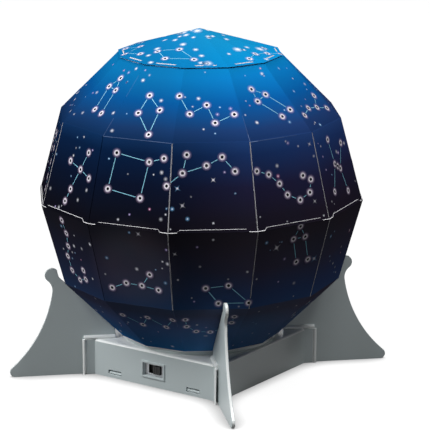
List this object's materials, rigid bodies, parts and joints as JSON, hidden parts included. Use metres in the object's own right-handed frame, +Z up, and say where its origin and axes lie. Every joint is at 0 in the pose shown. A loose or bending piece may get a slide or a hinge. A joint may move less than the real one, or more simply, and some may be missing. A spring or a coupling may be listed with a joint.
{
  "type": "planetarium projector",
  "caption": "Faceted card star globe with pinholes and a printed night sky, turning over a lamp on a square battery base with curved cradle legs and a slide switch.",
  "frame": {"origin": "on the supporting surface, under the middle of the base, on the globe's turning axis", "axes": "+Z up along the globe's turning axis; the switch side faces -Y; the legs point along the diagonals of X and Y"},
  "size_m": [0.2006, 0.2006, 0.2144],
  "materials": {
    "grey_plastic": "satin moulded",
    "black_plastic": "moulded",
    "screw_steel": "zinc plated",
    "plated_steel": "nickel plated",
    "contact_brass": "bright",
    "cell_wrap": "shrink sleeve",
    "lamp_glass": "clear",
    "red_wire": "insulation",
    "white_wire": "insulation",
    "black_wire": "insulation",
    "night_card": "satin print",
    "dusk_card": "satin print",
    "cyan_card": "satin print"
  },
  "bodies": {
    "base": {"base_housing": "grey_plastic", "globe_seat": "grey_plastic", "bottom_cover": "grey_plastic", "leg_front": "grey_plastic", "leg_right": "grey_plastic", "leg_rear": "grey_plastic", "leg_left": "grey_plastic", "switch_frame": "plated_steel", "switch_body": "black_plastic", "switch_terminals": "contact_brass", "battery_front": "cell_wrap", "battery_rear": "cell_wrap", "contact_link": "plated_steel", "contact_pair": "plated_steel", "contact_springs": "plated_steel", "lamp_post": "grey_plastic", "post_screws": "screw_steel", "socket_insulator": "black_plastic", "lamp_socket": "contact_brass", "bulb_cap": "contact_brass", "bulb_glass": "lamp_glass", "bulb_filament": "screw_steel", "wire_battery": "red_wire", "wire_switch": "white_wire", "wire_return": "black_wire"},
    "globe": {"globe_foot": "night_card", "lower_card_1": "night_card", "lower_card_2": "night_card", "upper_card_1": "dusk_card", "upper_card_2": "dusk_card", "globe_cap": "cyan_card"},
    "slider": {"switch_slider": "black_plastic"},
    "door": {"battery_door": "grey_plastic", "door_screws": "screw_steel"}
  },
  "joints": [
    {"name": "globe_turn", "type": "hinge", "parent": "base", "child": "globe", "pos_m": [0, 0, 0.0255], "axis": [0, 0, 1], "continuous": true},
    {"name": "switch_slide", "type": "slide", "parent": "base", "child": "slider", "axis": [-1, 0, 0], "range_m": [0, 0.0042]},
    {"name": "battery_door_lift", "type": "slide", "parent": "base", "child": "door", "axis": [0, 0, -1], "range_m": [0, 0.03]}
  ]
}
